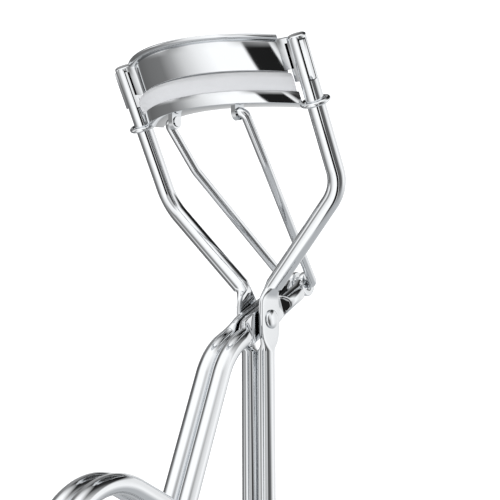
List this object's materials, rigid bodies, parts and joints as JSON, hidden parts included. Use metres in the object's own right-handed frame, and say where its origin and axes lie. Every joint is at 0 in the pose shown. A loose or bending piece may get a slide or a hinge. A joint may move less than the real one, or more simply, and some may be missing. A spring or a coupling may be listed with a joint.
{
  "type": "eyelash curler",
  "caption": "Chromed wire eyelash curler with a curved jaw, a silicone pad in a sliding channel, push rods and two finger-loop levers on a rivet.",
  "frame": {"origin": "middle of the upper jaw's lower edge, at the front of its curve, where the lashes are held", "axes": "+Z along the guide rods, towards their ends; +X across the jaws; -Y towards the convex side of the jaws and the handles"},
  "size_m": [0.0394, 0.0829, 0.108],
  "materials": {
    "chrome": "polished chrome plate",
    "silicone": "satin, slightly translucent"
  },
  "bodies": {
    "frame": {"outer_lever": "chrome", "upper_jaw": "chrome", "pivot_rivet": "chrome"},
    "squeeze_lever": {"inner_lever": "chrome"},
    "slider": {"lower_jaw": "chrome", "lug_left": "chrome", "lug_right": "chrome", "silicone_pad": "silicone"},
    "push_rods": {"push_rod_left": "chrome", "push_rod_right": "chrome"}
  },
  "joints": [
    {"name": "lever_hinge", "type": "hinge", "parent": "frame", "child": "squeeze_lever", "pos_m": [0, -0.00325, -0.04223], "axis": [-1, 0, 0], "range_deg": [0, 25]},
    {"name": "jaw_slide", "type": "slide", "parent": "frame", "child": "slider", "axis": [0, 0, -1], "range_m": [0, 0.006]},
    {"name": "rod_hinge", "type": "hinge", "parent": "slider", "child": "push_rods", "pos_m": [0, 0.00034, -0.007], "axis": [-1, 0, 0], "range_deg": [0, 3]}
  ],
  "couplings": [
    {"joint": "jaw_slide", "follows": "lever_hinge", "m_per_rad": 0.01368},
    {"joint": "rod_hinge", "follows": "lever_hinge", "ratio": 0.115}
  ]
}
